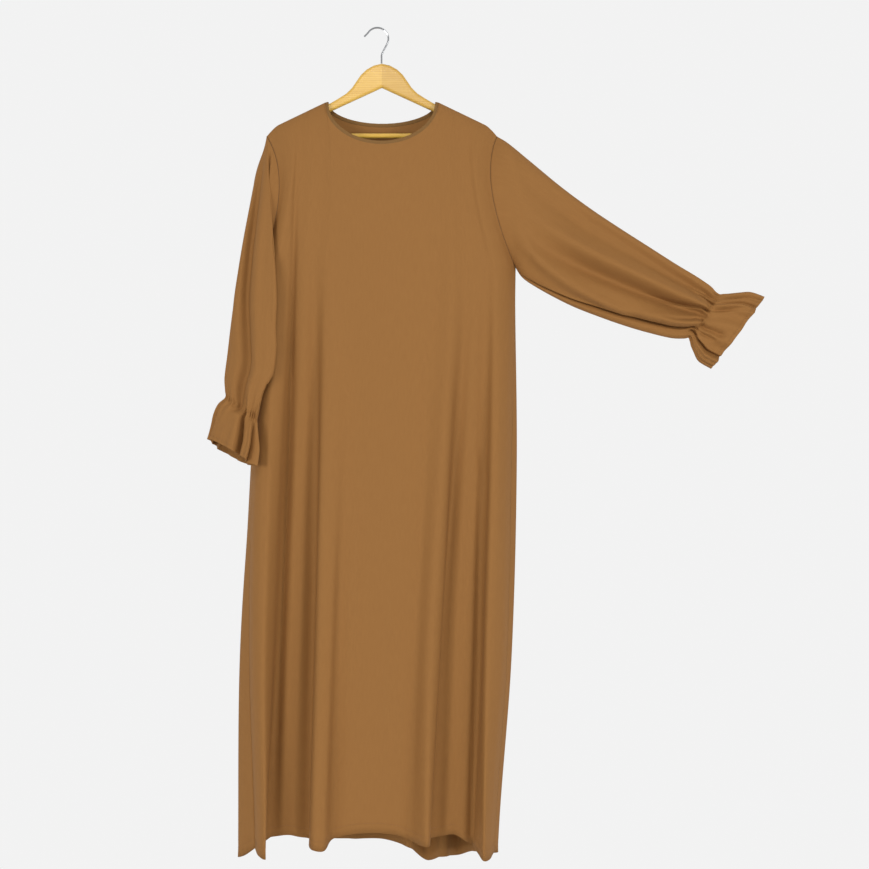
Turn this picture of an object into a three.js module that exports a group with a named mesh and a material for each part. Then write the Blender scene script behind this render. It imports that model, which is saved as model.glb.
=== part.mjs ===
// A long abaya on a wooden hanger, modelled as the pieces that are cut and sewn.
// Millimetres, +Z up. The front faces -Y and +X is to the viewer's right.
// The origin is the inside top of the hook, where a rail carries it.
import * as THREE from "three";
import { mergeVertices } from "three/addons/utils/BufferGeometryUtils.js";

// Driving sizes of the cloth
const CLOTH_WALL = 1.2;
const SEAM_GAP = 0.4;
const CENTRE_X = 8.6;
const CHEST_Z = -450;
const NECK_HALF_WIDTH = 106.7;
const NECK_Z = -139;
const FRONT_NECK_DROP = 82;
const BACK_NECK_DROP = 43;
const NECK_CROWDING = 0.4;
const YOKE_POWER = 0.42;
const YOKE_DEPTH = 40;
const YOKE_STEER = [0.45, 0.75];
const NECK_BLEND = 8;
const NECK_NEARNESS = [60, 20];
const NECK_SPREAD = 25;
const NECK_SPREAD_WIDTH = 0.08;
const SHOULDER_RUN = 110;
const SHOULDER_SLOPE = 0.48;
const SHOULDER_ROUND_START = 88;
const SHOULDER_ROUND_DROP = 11;
const ARMHOLE_DEPTH_FRONT = 26;
const ARMHOLE_DEPTH_BACK = 22;
const BINDING_WIDTH = 7;
const BINDING_SWELL = 0.3;
const ARMHOLE_ROUNDNESS = 0.7;
const ARMHOLE_REACH = { wide: 3, narrow: 12 };
const SLEEVE_ROUNDNESS = 0.85;

// Driving sizes of the hanger
const WOOD_DEPTH = 11;
const WOOD_ROUNDING = 4.8;
const WOOD_UNDER_CLOTH = 3.0;
const WOOD_TOP_Z = -65.8;
const WOOD_APEX_Z = -111.7;
const WOOD_SOCKET_OUT = 182;
const WOOD_SOCKET_TOP_Z = -195.5;
const BAR_RADIUS = 4.5;
const BAR_Z = -201.5;
const WIRE_RADIUS = 1.9;
const HOOK_RADIUS = 20.8;
const HOOK_STEM_X = 8;
const HOOK_FOOT_Z = -65.4;
const HOOK_NECK = { x: 8.3, z: -49 };
const HOOK_TIP = { x: -24.6, z: -15 };
const HOOK_ARC = { from: -30, to: 150, step: 20 };
const PART_GAP = 0.3;

// How finely the cloth is divided
const SAMPLES_PER_FOLD = 2;
const BODY_ROWS = 8;
const YOKE_ROWS = 12;
const RING_HALF = 20;

const table = (columns, rows) =>
  rows.map((row) => Object.fromEntries(columns.map((column, index) => [column, row[index]])));

// The upper outline of the wood on one side, as distances out from the middle and heights:
// the domed centre, where the arm leaves it, and the rounded end with the socket for the bar.
const OUTLINE_COLUMNS = ["out", "z"];
const WOOD_DOME = table(OUTLINE_COLUMNS, [
  [15, -69.2], [28.6, -76.7], [39.5, -87], [48, -99.3], [56, -111.1],
  [67, -122], [81.5, -131.2], [92, -137.4], [98, -140.8],
]);
const WOOD_ARM_STATIONS = [108, 125, 160, 188];
const WOOD_END = table(OUTLINE_COLUMNS, [
  [196, -189], [199, -197], [198, -205], [192, -209.5], [WOOD_SOCKET_OUT, -209.5],
  [WOOD_SOCKET_OUT, WOOD_SOCKET_TOP_Z],
]);

// One row for each fold or valley of a body panel, in order round the body.
// Across at four heights, depth at the chest and hem, and the height of the hem there.
const FOLD_COLUMNS = ["name", "chestX", "hipX", "kneeX", "hemX", "chestY", "hemY", "hemZ"];
const FRONT_FOLDS = table(FOLD_COLUMNS, [
  ["left_seam", -217, -234, -239, -227, -2, -34, -1534],
  ["left_roll", -208, -223, -228, -218, -22, -66, -1542],
  ["left_crown", -190, -202, -210, -203, -34, -82, -1546],
  ["valley_1", -160, -173, -184, -187, -33, -40, -1514],
  ["recess_1", -137, -148, -156, -161, -37, -42, -1510],
  ["valley_2", -113, -120, -126, -137, -37, -50, -1518],
  ["fold_2", -94, -101, -108, -116, -40, -88, -1528],
  ["fold_2_right", -74, -77, -85, -97, -41, -86, -1530],
  ["valley_3", -50, -53, -62, -79, -42, -64, -1512],
  ["centre_left", -24, -25, -34, -49, -43, -61, -1504],
  ["centre", 15, 14, 8, 1, -44, -61, -1501],
  ["centre_right", 66, 53, 45, 42, -43, -62, -1506],
  ["valley_4", 118, 94, 72, 67, -41, -68, -1516],
  ["fold_4", 142, 123, 101, 94, -42, -92, -1521],
  ["valley_5", 162, 149, 134, 115, -38, -56, -1513],
  ["recess_2", 183, 172, 157, 144, -37, -48, -1507],
  ["valley_6", 205, 198, 186, 185, -35, -54, -1537],
  ["right_crown", 222, 218, 205, 198, -36, -86, -1548],
  ["right_roll", 245, 239, 229, 210, -22, -66, -1549],
  ["right_seam", 260, 252, 243, 219, -2, -38, -1539],
]);
const FRONT_NECK_FOLDS = ["valley_2", "valley_4"];
const BACK_FOLDS = table(FOLD_COLUMNS, [
  ["right_seam", 260, 252, 243, 219, -2, -38, -1539],
  ["right_bulge", 258, 262, 253, 226, 8, -12, -1546],
  ["right_back", 248, 246, 239, 214, 22, 22, -1554],
  ["hollow_1", 209, 209, 205, 182, 33, 36, -1553],
  ["ridge_1", 171, 171, 168, 153, 37, 74, -1568],
  ["hollow_2", 137, 135, 131, 124, 37, 48, -1565],
  ["ridge_2", 99, 99, 99, 93, 39, 80, -1579],
  ["hollow_3", 57, 57, 59, 57, 38, 50, -1548],
  ["ridge_3", 12, 11, 11, 11, 39, 66, -1536],
  ["hollow_4", -41, -43, -44, -42, 38, 50, -1532],
  ["ridge_4", -91, -95, -100, -100, 38, 78, -1536],
  ["hollow_5", -132, -140, -144, -144, 36, 46, -1519],
  ["ridge_5", -167, -183, -187, -188, 35, 72, -1524],
  ["hollow_6", -193, -216, -220, -223, 29, 54, -1543],
  ["left_back", -212, -239, -249, -252, 17, 32, -1560],
  ["left_bulge", -216, -236, -259, -263, 7, 4, -1558],
  ["left_seam", -217, -234, -239, -227, -2, -34, -1534],
]);
const BACK_NECK_FOLDS = ["ridge_2", "ridge_4"];

// Armhole curves from the underarm up to the shoulder tip, across and height of the two guides.
const ARMHOLES = {
  left: { lowX: -197, lowZ: -399, highX: -156, highZ: -283 },
  right: { lowX: 236, lowZ: -399, highX: 189, highZ: -283 },
};

// One row for each section of a sleeve, from the armhole out. The outer point is on the line from
// the shoulder tip and the inner point on the line from the underarm. Front and back are how far
// the cloth reaches to each side of the line between them, turn is how far the front direction
// turns to +X in degrees, sink how far its far end drops, and ruffle the height of the waves.
const SECTION_COLUMNS = ["outerX", "outerY", "outerZ", "innerX", "innerY", "innerZ",
  "front", "back", "turn", "sink", "ruffle"];
const HELD_SECTIONS = table(SECTION_COLUMNS, [
  [245, 0, -215, 276, 0, -471, 34, 30, 0, 0, 0],
  [286, 0, -249, 315, 0, -496, 34, 30, 0, 0, 0],
  [343, 0, -296, 366, 0, -522, 32, 28, 0, 0, 0],
  [399, 0, -337, 418, 0, -542, 30, 27, 0, 0, 0],
  [455, 0, -374, 471, 0, -560, 28, 25, 0, 0, 0],
  [511, 0, -410, 516, 0, -573, 26, 23, 0, 0, 0],
  [560, 0, -442, 553, 0, -582, 24, 21, 0, 0, 0],
  [599, 0, -466, 576, 0, -583, 22, 19, 0, 0, 0],
  [625, 0, -484, 585, 0, -581, 19, 17, 0, 0, 0],
  [641, 0, -498, 589, 0, -586, 17, 15, 0, 0, 0.5],
  [655, 0, -499, 591, 0, -597, 20, 18, 0, 0, 3],
  [680, 0, -497, 597, 0, -610, 22, 20, 0, 0, 6],
  [702, 0, -497, 606, 0, -625, 22, 20, 0, 0, 9],
  [727, 0, -506, 629, 0, -638, 20, 18, 0, 0, 11],
]);
const HANGING_SECTIONS = table(SECTION_COLUMNS, [
  [-214, -4, -236, -221, -4, -458, 34, 26, 35, 0, 0],
  [-222, -8, -270, -224, -8, -472, 42, 24, 42, 0, 0],
  [-231, -13, -322, -226, -14, -492, 50, 22, 48, 4, 0],
  [-241, -19, -385, -229, -18, -518, 56, 22, 52, 8, 0],
  [-248, -27, -445, -231, -20, -545, 59, 24, 55, 12, 0],
  [-252, -34, -505, -231, -21, -575, 58, 30, 57, 16, 0],
  [-250, -41, -565, -230, -22, -605, 58, 40, 57, 18, 0],
  [-246, -46, -628, -232, -24, -640, 49, 49, 57, 20, 0],
  [-254, -46, -668, -242, -28, -674, 44, 44, 58, 15, 0],
  [-256, -48, -696, -246, -31, -698, 38, 38, 59, 17, 0],
  [-257, -50, -713, -248, -33, -714, 34, 34, 61, 20, 0.5],
  [-266, -52, -725, -253, -30, -726, 41, 41, 60, 19, 3],
  [-272, -55, -745, -257, -29, -746, 46, 46, 59, 18, 6],
  [-277, -57, -768, -259, -27, -769, 49, 49, 58, 17, 9],
  [-284, -60, -795, -265, -26, -796, 51, 51, 56, 16, 11],
]);

// Creases of the sleeves: where round the section they start and end, as an angle from the outer
// point over the front, the rows they run between, how deep they are and how wide in the same angle.
const CREASE_COLUMNS = ["name", "startAngle", "endAngle", "startRow", "endRow", "depth", "width"];
const HELD_CREASES = table(CREASE_COLUMNS, [
  ["upper", 0.64, 0.7, 1, 9, 6, 0.15],
  ["middle", 1.8, 1.57, 1, 9, 10, 0.25],
  ["lower", 2.6, 2.37, 1, 9, 5, 0.15],
]);
const HANGING_CREASES = table(CREASE_COLUMNS, [
  ["lengthwise", 0.3, -0.1, 2, 14, 11, 0.45],
]);
const RUFFLE_WAVES = 4;

const lerp = (from, to, share) => from + (to - from) * share;

// A smooth value between two ends that leaves each end at a given rate.
const hermite = (from, rateFrom, to, rateTo, t) =>
  (2 * t ** 3 - 3 * t ** 2 + 1) * from + (t ** 3 - 2 * t ** 2 + t) * rateFrom
  + (3 * t ** 2 - 2 * t ** 3) * to + (t ** 3 - t ** 2) * rateTo;

const bezier = (a, b, c, d, t) =>
  a * (1 - t) ** 3 + 3 * b * t * (1 - t) ** 2 + 3 * c * t * t * (1 - t) + d * t ** 3;

// A value that passes through equally spaced stations, share running from 0 to 1.
function through(values, share) {
  const spot = Math.min(share, 0.99999) * (values.length - 1);
  const index = Math.floor(spot);
  const part = spot - index;
  const at = (offset) => values[Math.min(Math.max(index + offset, 0), values.length - 1)];
  return hermite(at(0), (at(1) - at(-1)) / 2, at(1), (at(2) - at(0)) / 2, part);
}

// A place on a fold line below the chest, drop running from 0 at the chest to 1 at the hem.
function foldPoint(fold, drop) {
  return new THREE.Vector3(
    through([fold.chestX, fold.hipX, fold.kneeX, fold.hemX], drop),
    lerp(fold.chestY, fold.hemY, drop),
    lerp(CHEST_Z, fold.hemZ, drop),
  );
}

// The panel's level line at one height, a smooth curve through all its folds.
function levelLine(folds, drop) {
  const stations = folds.map((fold) => foldPoint(fold, drop));
  const curve = new THREE.CatmullRomCurve3(stations, false, "centripetal");
  return curve.getPoints(SAMPLES_PER_FOLD * (folds.length - 1));
}

// Height of the shoulder seam at a distance out from the neck point.
function shoulderZ(out) {
  const round = Math.max(0, (out - SHOULDER_ROUND_START) / (SHOULDER_RUN - SHOULDER_ROUND_START));
  return NECK_Z - SHOULDER_SLOPE * out - SHOULDER_ROUND_DROP * round ** 1.5;
}

// The neck edge, angle running from 0 at the panel's first neck point to PI at its last.
// way is 1 for the front, whose columns run to +X, and -1 for the back.
function neckPoint(way, angle) {
  const drop = way > 0 ? FRONT_NECK_DROP : BACK_NECK_DROP;
  return { x: CENTRE_X - way * NECK_HALF_WIDTH * Math.cos(angle), z: NECK_Z - drop * Math.sin(angle) };
}

// The upper edge of a panel above a share of its chest line: shoulder, neck, shoulder.
function topEdge(way, share, neckShares) {
  if (share < neckShares[0]) {
    const out = SHOULDER_RUN * (1 - share / neckShares[0]);
    return { x: CENTRE_X - way * (NECK_HALF_WIDTH + out), z: shoulderZ(out) };
  }
  if (share > neckShares[1]) {
    const out = SHOULDER_RUN * (share - neckShares[1]) / (1 - neckShares[1]);
    return { x: CENTRE_X + way * (NECK_HALF_WIDTH + out), z: shoulderZ(out) };
  }
  const part = (share - neckShares[0]) / (neckShares[1] - neckShares[0]);
  return neckPoint(way, Math.PI * part - NECK_CROWDING * Math.sin(2 * Math.PI * part));
}

// Shares of the way along a line at each of its points, from 0 to 1.
function lengthShares(line) {
  const sums = [0];
  line.slice(1).forEach((point, index) => sums.push(sums[index] + point.distanceTo(line[index])));
  return sums.map((sum) => sum / sums[sums.length - 1]);
}

// How full the cloth stands, from 0 on the ridge over the hanger to 1 at the chest line.
function fullness(x, z) {
  const ridge = shoulderZ(Math.max(0, Math.abs(x - CENTRE_X) - NECK_HALF_WIDTH));
  const rise = Math.min(1, (z - CHEST_Z) / (ridge - CHEST_Z));
  return (1 - rise * rise) ** YOKE_POWER;
}

// The outward direction on a panel's upper edge, from the slope of that fullness.
function edgeNormal(way, { x, z }) {
  const out = Math.abs(x - CENTRE_X) - NECK_HALF_WIDTH;
  const ridge = shoulderZ(Math.max(0, out));
  const rise = Math.min(1, (z - CHEST_Z) / (ridge - CHEST_Z));
  const outside = THREE.MathUtils.smoothstep(out, -NECK_BLEND, NECK_BLEND);
  const fall = Math.sign(x - CENTRE_X) * outside * (shoulderZ(out) - shoulderZ(out + 1));
  const upward = 2 * YOKE_POWER * YOKE_DEPTH * rise / (ridge - CHEST_Z);
  const forward = (1 - rise * rise) ** (1 - YOKE_POWER);
  return new THREE.Vector3(fall * upward, -way * forward, upward).normalize();
}

// A place on an armhole edge, t running from 0 at the underarm to 1 at the shoulder tip.
function armholePoint(side, way, t) {
  const guide = ARMHOLES[side];
  const seam = FRONT_FOLDS.find((fold) => fold.name === side + "_seam");
  const outward = side === "left" ? -1 : 1;
  const depth = way > 0 ? ARMHOLE_DEPTH_FRONT : ARMHOLE_DEPTH_BACK;
  const tipX = CENTRE_X + outward * (NECK_HALF_WIDTH + SHOULDER_RUN);
  return new THREE.Vector3(
    bezier(seam.chestX, guide.lowX, guide.highX, tipX, t),
    lerp(seam.chestY, 0, t) - way * depth * Math.sin(Math.PI * t) ** ARMHOLE_ROUNDNESS,
    bezier(CHEST_Z, guide.lowZ, guide.highZ, shoulderZ(SHOULDER_RUN), t),
  );
}

// The yoke of a panel at a share t of the way up from the chest line to the upper edge.
function yokeLine(folds, way, neckNames, t) {
  const chest = levelLine(folds, 0);
  const below = levelLine(folds, 1 / BODY_ROWS);
  const shares = lengthShares(chest);
  const neckShares = neckNames.map((name) =>
    shares[SAMPLES_PER_FOLD * folds.findIndex((fold) => fold.name === name)]);
  const firstSide = way > 0 ? "left" : "right";
  const lastSide = way > 0 ? "right" : "left";
  const plain = (index) => {
    const low = chest[index];
    const top = topEdge(way, shares[index], neckShares);
    const rate = (top.z - low.z) * (low.x - below[index].x) / (low.z - below[index].z);
    const neckMiss = Math.min(...neckShares.map((share) => Math.abs(shares[index] - share)));
    const fromNeck = neckMiss / NECK_SPREAD_WIDTH;
    const outward = (top.x - low.x) * (low.x - CENTRE_X) < 0;
    const spread = outward ? lerp(1, NECK_SPREAD, Math.exp(-fromNeck * fromNeck)) : 1;
    const x = hermite(low.x, rate, low.x, 0, t) + (top.x - low.x) * t ** spread;
    const z = lerp(low.z, top.z, t);
    return new THREE.Vector3(x, low.y * fullness(x, z), z);
  };
  const firstMiss = armholePoint(firstSide, way, t).sub(plain(0));
  const lastMiss = armholePoint(lastSide, way, t).sub(plain(chest.length - 1));
  return chest.map((_, index) => {
    const point = plain(index);
    [[firstMiss, 1 - shares[index]], [lastMiss, shares[index]]].forEach(([miss, nearness]) => {
      const wide = Math.max(0, nearness) ** ARMHOLE_REACH.wide;
      const narrow = Math.max(0, nearness) ** ARMHOLE_REACH.narrow;
      point.add(new THREE.Vector3(miss.x * wide, miss.y * narrow, miss.z * wide));
    });
    return point;
  });
}

// Shares of the way up from the chest line, closest together where the cloth bends over the hanger.
const yokeHeights = Array.from({ length: YOKE_ROWS + 1 }, (_, row) => 1 - (row / YOKE_ROWS) ** 2);

// A body panel as rows of points from its upper edge down to the hem.
function panelRows(folds, way, neckNames) {
  const rows = yokeHeights.map((t) => yokeLine(folds, way, neckNames, t));
  for (let row = 1; row <= BODY_ROWS; row += 1) {
    rows.push(levelLine(folds, row / BODY_ROWS));
  }
  rows.forEach((row) => row.forEach((point) => point.setY(point.y - way * SEAM_GAP / 2)));
  return rows;
}

// Outward directions at each point of a grid of rows. Side is 1 or -1 by which way it faces.
function gridNormals(rows, side, closed) {
  const width = rows[0].length;
  return rows.map((row, rowIndex) => row.map((_, index) => {
    const left = closed ? (index + width - 1) % width : Math.max(index - 1, 0);
    const right = closed ? (index + 1) % width : Math.min(index + 1, width - 1);
    const up = rows[Math.max(rowIndex - 1, 0)][index];
    const down = rows[Math.min(rowIndex + 1, rows.length - 1)][index];
    const along = down.clone().sub(up);
    const across = row[right].clone().sub(row[left]);
    return along.cross(across).multiplyScalar(side).normalize();
  }));
}

const moveIn = (rows, normals, distance) =>
  rows.map((row, rowIndex) =>
    row.map((point, index) => point.clone().addScaledVector(normals[rowIndex][index], -distance)));

// A closed wall between an outer and an inner grid of points.
function wall(outer, inner, closed) {
  const width = outer[0].length;
  const height = outer.length;
  const points = [...outer.flat(), ...inner.flat()];
  const offset = width * height;
  const faces = [];
  const quad = (a, b, c, d) => faces.push(a, b, c, a, c, d);
  const spans = closed ? width : width - 1;
  for (let row = 0; row < height - 1; row += 1) {
    for (let span = 0; span < spans; span += 1) {
      const next = (span + 1) % width;
      const above = row * width;
      const below = above + width;
      const [a, b, c, d] = [above + span, below + span, below + next, above + next];
      quad(a, b, c, d);
      quad(a + offset, d + offset, c + offset, b + offset);
    }
    if (!closed) {
      const starts = [row * width, (row + 1) * width];
      const ends = starts.map((start) => start + width - 1);
      quad(starts[0], starts[0] + offset, starts[1] + offset, starts[1]);
      quad(ends[0], ends[1], ends[1] + offset, ends[0] + offset);
    }
  }
  for (let span = 0; span < spans; span += 1) {
    const next = (span + 1) % width;
    const last = (height - 1) * width;
    quad(span, next, next + offset, span + offset);
    quad(last + next, last + span, last + span + offset, last + next + offset);
  }
  return closedGeometry(points, faces);
}

// Joins points and triangles into one body with its faces out.
function closedGeometry(points, faces) {
  let volume = 0;
  for (let face = 0; face < faces.length; face += 3) {
    const [a, b, c] = [points[faces[face]], points[faces[face + 1]], points[faces[face + 2]]];
    volume += a.dot(b.clone().cross(c));
  }
  const geometry = new THREE.BufferGeometry();
  const positions = new THREE.Float32BufferAttribute(points.flatMap((point) => point.toArray()), 3);
  geometry.setAttribute("position", positions);
  geometry.setIndex(volume < 0 ? faces.reverse() : faces);
  return mergeVertices(geometry, 1e-3);
}

// Makes the panels and the sleeves' outer faces. Walls share one direction along each seam.
function sewnShapes() {
  const front = panelRows(FRONT_FOLDS, 1, FRONT_NECK_FOLDS);
  const back = panelRows(BACK_FOLDS, -1, BACK_NECK_FOLDS);
  const frontNormals = gridNormals(front, 1, false);
  const backNormals = gridNormals(back, 1, false);
  const share = (a, b) => {
    a.add(b).normalize();
    b.copy(a);
  };
  front.forEach((row, index) => {
    if (index > YOKE_ROWS - 1) {
      share(frontNormals[index][0], backNormals[index][back[0].length - 1]);
      share(frontNormals[index][row.length - 1], backNormals[index][0]);
    }
  });
  yokeHeights.forEach((height, row) => {
    const high = THREE.MathUtils.smoothstep(height, ...YOKE_STEER);
    const steer = (normals, rows, way) => normals[row].forEach((normal, index) => {
      const out = Math.abs(rows[row][index].x - CENTRE_X) - NECK_HALF_WIDTH;
      const near = 1 - THREE.MathUtils.smoothstep(out, NECK_NEARNESS[1], NECK_NEARNESS[0]);
      normal.lerp(edgeNormal(way, rows[row][index]), row === 0 ? 1 : high * near).normalize();
    });
    steer(frontNormals, front, 1);
    steer(backNormals, back, -1);
  });
  const sleeves = {};
  [["left", HANGING_SECTIONS, HANGING_CREASES, 1], ["right", HELD_SECTIONS, HELD_CREASES, -1]]
    .forEach(([side, sections, creases, facing]) => {
      const rings = sections.map((section, row) => sleeveRing(section, row, creases));
      const outer = [armholeRing(front, back, side), ...rings];
      const normals = gridNormals(outer, facing, true);
      const weights = yokeHeights.map((rise, row) => {
        const spot = RING_HALF * Math.acos(2 * rise - 1) / Math.PI;
        const blend = (panelNormals, rows, way) => {
          const column = (side === "left") === (way > 0) ? 0 : rows[row].length - 1;
          const at = (step) => normals[0][(way * step + 2 * RING_HALF) % (2 * RING_HALF)];
          const nearby = at(Math.floor(spot)).clone().lerp(at(Math.ceil(spot)), spot % 1).normalize();
          const weight = THREE.MathUtils.smoothstep(nearby.dot(panelNormals[row][column]), 0, 0.5);
          panelNormals[row][column].addScaledVector(nearby, weight).normalize();
          return weight;
        };
        const pair = [blend(frontNormals, front, 1), blend(backNormals, back, -1)];
        if (row === 0 || row === YOKE_ROWS) {
          const frontColumn = side === "left" ? 0 : front[0].length - 1;
          const backColumn = side === "left" ? back[0].length - 1 : 0;
          share(frontNormals[row][frontColumn], backNormals[row][backColumn]);
        }
        return pair;
      });
      sleeves[side] = { outer, normals, weights };
    });
  const frontInner = moveIn(front, frontNormals, CLOTH_WALL);
  const backInner = moveIn(back, backNormals, CLOTH_WALL);
  Object.entries(sleeves).forEach(([side, shape]) => {
    shape.inner = moveIn(shape.outer, shape.normals, CLOTH_WALL);
    armholeRing(frontInner, backInner, side).forEach((edge, step) => {
      const rise = (1 + Math.cos(Math.PI * step / RING_HALF)) / 2;
      const row = yokeHeights.findLastIndex((height) => height >= rise - 1e-9);
      shape.inner[0][step].lerp(edge, shape.weights[row][step > RING_HALF ? 1 : 0]);
    });
  });
  return {
    front: { outer: front, inner: frontInner },
    back: { outer: back, inner: backInner },
    ...sleeves,
  };
}

// The armhole edge of one side as a closed ring: shoulder tip, front, underarm, back.
function armholeRing(front, back, side) {
  const frontIndex = side === "left" ? 0 : front[0].length - 1;
  const backIndex = side === "left" ? back[0].length - 1 : 0;
  const edge = (rows, index) => rows.slice(0, YOKE_ROWS + 1).map((row) => row[index]);
  const frontEdge = edge(front, frontIndex);
  const backEdge = edge(back, backIndex);
  const between = (points, rise) => {
    const index = Math.min(yokeHeights.findLastIndex((height) => height >= rise), YOKE_ROWS - 1);
    const span = yokeHeights[index] - yokeHeights[index + 1];
    return points[index].clone().lerp(points[index + 1], (yokeHeights[index] - rise) / span);
  };
  const ring = [];
  for (let step = 0; step < 2 * RING_HALF; step += 1) {
    const rise = (1 + Math.cos(Math.PI * step / RING_HALF)) / 2;
    const point = between(step <= RING_HALF ? frontEdge : backEdge, rise);
    if (step === 0 || step === RING_HALF) {
      point.add(between(backEdge, rise)).multiplyScalar(0.5);
    }
    point.x += side === "left" ? -SEAM_GAP : SEAM_GAP;
    ring.push(point);
  }
  return ring;
}

// How far the creases pull a sleeve in at an angle round it and a row along it.
function creaseDepth(creases, angle, row) {
  return creases.reduce((sum, crease) => {
    const along = (row - crease.startRow) / (crease.endRow - crease.startRow);
    if (along < 0 || along > 1) {
      return sum;
    }
    const centre = lerp(crease.startAngle, crease.endAngle, along);
    const fade = Math.min(1, 4 * along, 0.5 + 2 * (1 - along));
    return sum + crease.depth * fade * Math.exp(-(((angle - centre) / crease.width) ** 2));
  }, 0);
}

// One closed section of a sleeve, with the same order of points as the armhole ring.
function sleeveRing(section, row, creases) {
  const outer = new THREE.Vector3(section.outerX, section.outerY, section.outerZ);
  const inner = new THREE.Vector3(section.innerX, section.innerY, section.innerZ);
  const turn = THREE.MathUtils.degToRad(section.turn);
  const forward = new THREE.Vector3(Math.sin(turn), -Math.cos(turn), -section.sink / section.front);
  const halfLine = outer.clone().sub(inner).multiplyScalar(0.5);
  const ring = [];
  for (let step = 0; step < 2 * RING_HALF; step += 1) {
    const angle = Math.PI * (step > RING_HALF ? step - 2 * RING_HALF : step) / RING_HALF;
    const reach = angle > 0 ? section.front : section.back;
    const swell = Math.sign(angle) * Math.abs(Math.sin(angle)) ** SLEEVE_ROUNDNESS;
    const facing = halfLine.clone().normalize().multiplyScalar(Math.cos(angle) / halfLine.length())
      .addScaledVector(forward, Math.sin(angle) / reach).normalize();
    const wave = section.ruffle * Math.sin(2 * RUFFLE_WAVES * angle) * Math.abs(swell);
    ring.push(outer.clone()
      .addScaledVector(halfLine, Math.cos(angle) - 1)
      .addScaledVector(forward, reach * swell)
      .addScaledVector(facing, wave - creaseDepth(creases, angle, row)));
  }
  return ring;
}

// The neck edge of both panels as a ring: front from left to right, then back from right to left.
function neckRing(panels, layer) {
  const onNeck = (row) => row.map((point) => Math.abs(point.x - CENTRE_X) < NECK_HALF_WIDTH - 0.01);
  const inside = (panel) => {
    const flags = onNeck(panel.outer[0]);
    const first = flags.indexOf(true) - 1;
    const last = flags.lastIndexOf(true) + 1;
    return panel[layer][0].slice(first, last + 1);
  };
  const front = inside(panels.front);
  const back = inside(panels.back);
  const corner = (a, b) => a.clone().add(b).multiplyScalar(0.5);
  return [
    corner(front[0], back[back.length - 1]),
    ...front.slice(1, -1),
    corner(front[front.length - 1], back[0]),
    ...back.slice(1, -1),
  ];
}

// The strip bound round the neck: a flat ring that carries the panels on from their neck edge.
function neckBinding(panels) {
  const outerFeet = neckRing(panels, "outer");
  const innerFeet = neckRing(panels, "inner");
  const count = outerFeet.length;
  const faces = outerFeet.map((foot, index) => foot.clone().sub(innerFeet[index]).normalize());
  const rises = outerFeet.map((_, index) => {
    const along = outerFeet[(index + 1) % count].clone().sub(outerFeet[(index + count - 1) % count]);
    return faces[index].clone().cross(along).normalize();
  });
  const layer = (feet, rise, swell) => feet.map((foot, index) =>
    foot.clone().addScaledVector(rises[index], rise).addScaledVector(faces[index], swell));
  const middle = PART_GAP + BINDING_WIDTH / 2;
  const high = PART_GAP + BINDING_WIDTH;
  const outer = [
    layer(outerFeet, PART_GAP, 0),
    layer(outerFeet, middle, BINDING_SWELL),
    layer(outerFeet, high, 0),
  ];
  const inner = [
    layer(innerFeet, PART_GAP, 0),
    layer(innerFeet, middle, -BINDING_SWELL),
    layer(innerFeet, high, 0),
  ];
  return wall(outer, inner, true);
}

// The wooden arms: a domed centre, arms that follow the shoulders, and a socket under each end.
function hangerWood() {
  const arm = WOOD_ARM_STATIONS.map((out) =>
    ({ out, z: shoulderZ(out - NECK_HALF_WIDTH) - WOOD_UNDER_CLOTH }));
  const half = [...WOOD_DOME, ...arm, ...WOOD_END];
  const outline = new THREE.Shape();
  outline.moveTo(CENTRE_X, WOOD_TOP_Z);
  half.forEach(({ out, z }) => outline.lineTo(CENTRE_X + out, z));
  outline.lineTo(CENTRE_X, WOOD_APEX_Z);
  half.reverse().forEach(({ out, z }) => outline.lineTo(CENTRE_X - out, z));
  outline.closePath();
  const geometry = new THREE.ExtrudeGeometry(outline, {
    depth: WOOD_DEPTH - 2 * WOOD_ROUNDING,
    bevelEnabled: true,
    bevelThickness: WOOD_ROUNDING,
    bevelSize: WOOD_ROUNDING,
    bevelOffset: -WOOD_ROUNDING,
    bevelSegments: 3,
  });
  geometry.translate(0, 0, WOOD_ROUNDING - WOOD_DEPTH / 2);
  geometry.rotateX(Math.PI / 2);
  return tidy(geometry);
}

function hangerBar() {
  const length = 2 * (WOOD_SOCKET_OUT - PART_GAP);
  const geometry = new THREE.CylinderGeometry(BAR_RADIUS, BAR_RADIUS, length, 12);
  geometry.rotateZ(Math.PI / 2);
  geometry.translate(CENTRE_X, 0, BAR_Z);
  return tidy(geometry);
}

// The wire hook: a stem out of the dome and an arc, open to the viewer's left.
function hangerHook() {
  const centreZ = WIRE_RADIUS - HOOK_RADIUS;
  const points = [
    new THREE.Vector3(HOOK_STEM_X, 0, HOOK_FOOT_Z),
    new THREE.Vector3(HOOK_STEM_X, 0, (HOOK_FOOT_Z + HOOK_NECK.z) / 2),
    new THREE.Vector3(HOOK_NECK.x, 0, HOOK_NECK.z),
  ];
  for (let degrees = HOOK_ARC.from; degrees <= HOOK_ARC.to; degrees += HOOK_ARC.step) {
    const angle = THREE.MathUtils.degToRad(degrees);
    const rise = HOOK_RADIUS * Math.sin(angle);
    points.push(new THREE.Vector3(HOOK_RADIUS * Math.cos(angle), 0, centreZ + rise));
  }
  points.push(new THREE.Vector3(HOOK_TIP.x, 0, HOOK_TIP.z));
  const section = new THREE.Shape();
  section.absarc(0, 0, WIRE_RADIUS, 0, 2 * Math.PI);
  const path = new THREE.CatmullRomCurve3(points, false, "centripetal");
  return tidy(new THREE.ExtrudeGeometry(section, {
    steps: 30,
    curveSegments: 5,
    bevelEnabled: false,
    extrudePath: path,
  }));
}

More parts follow.
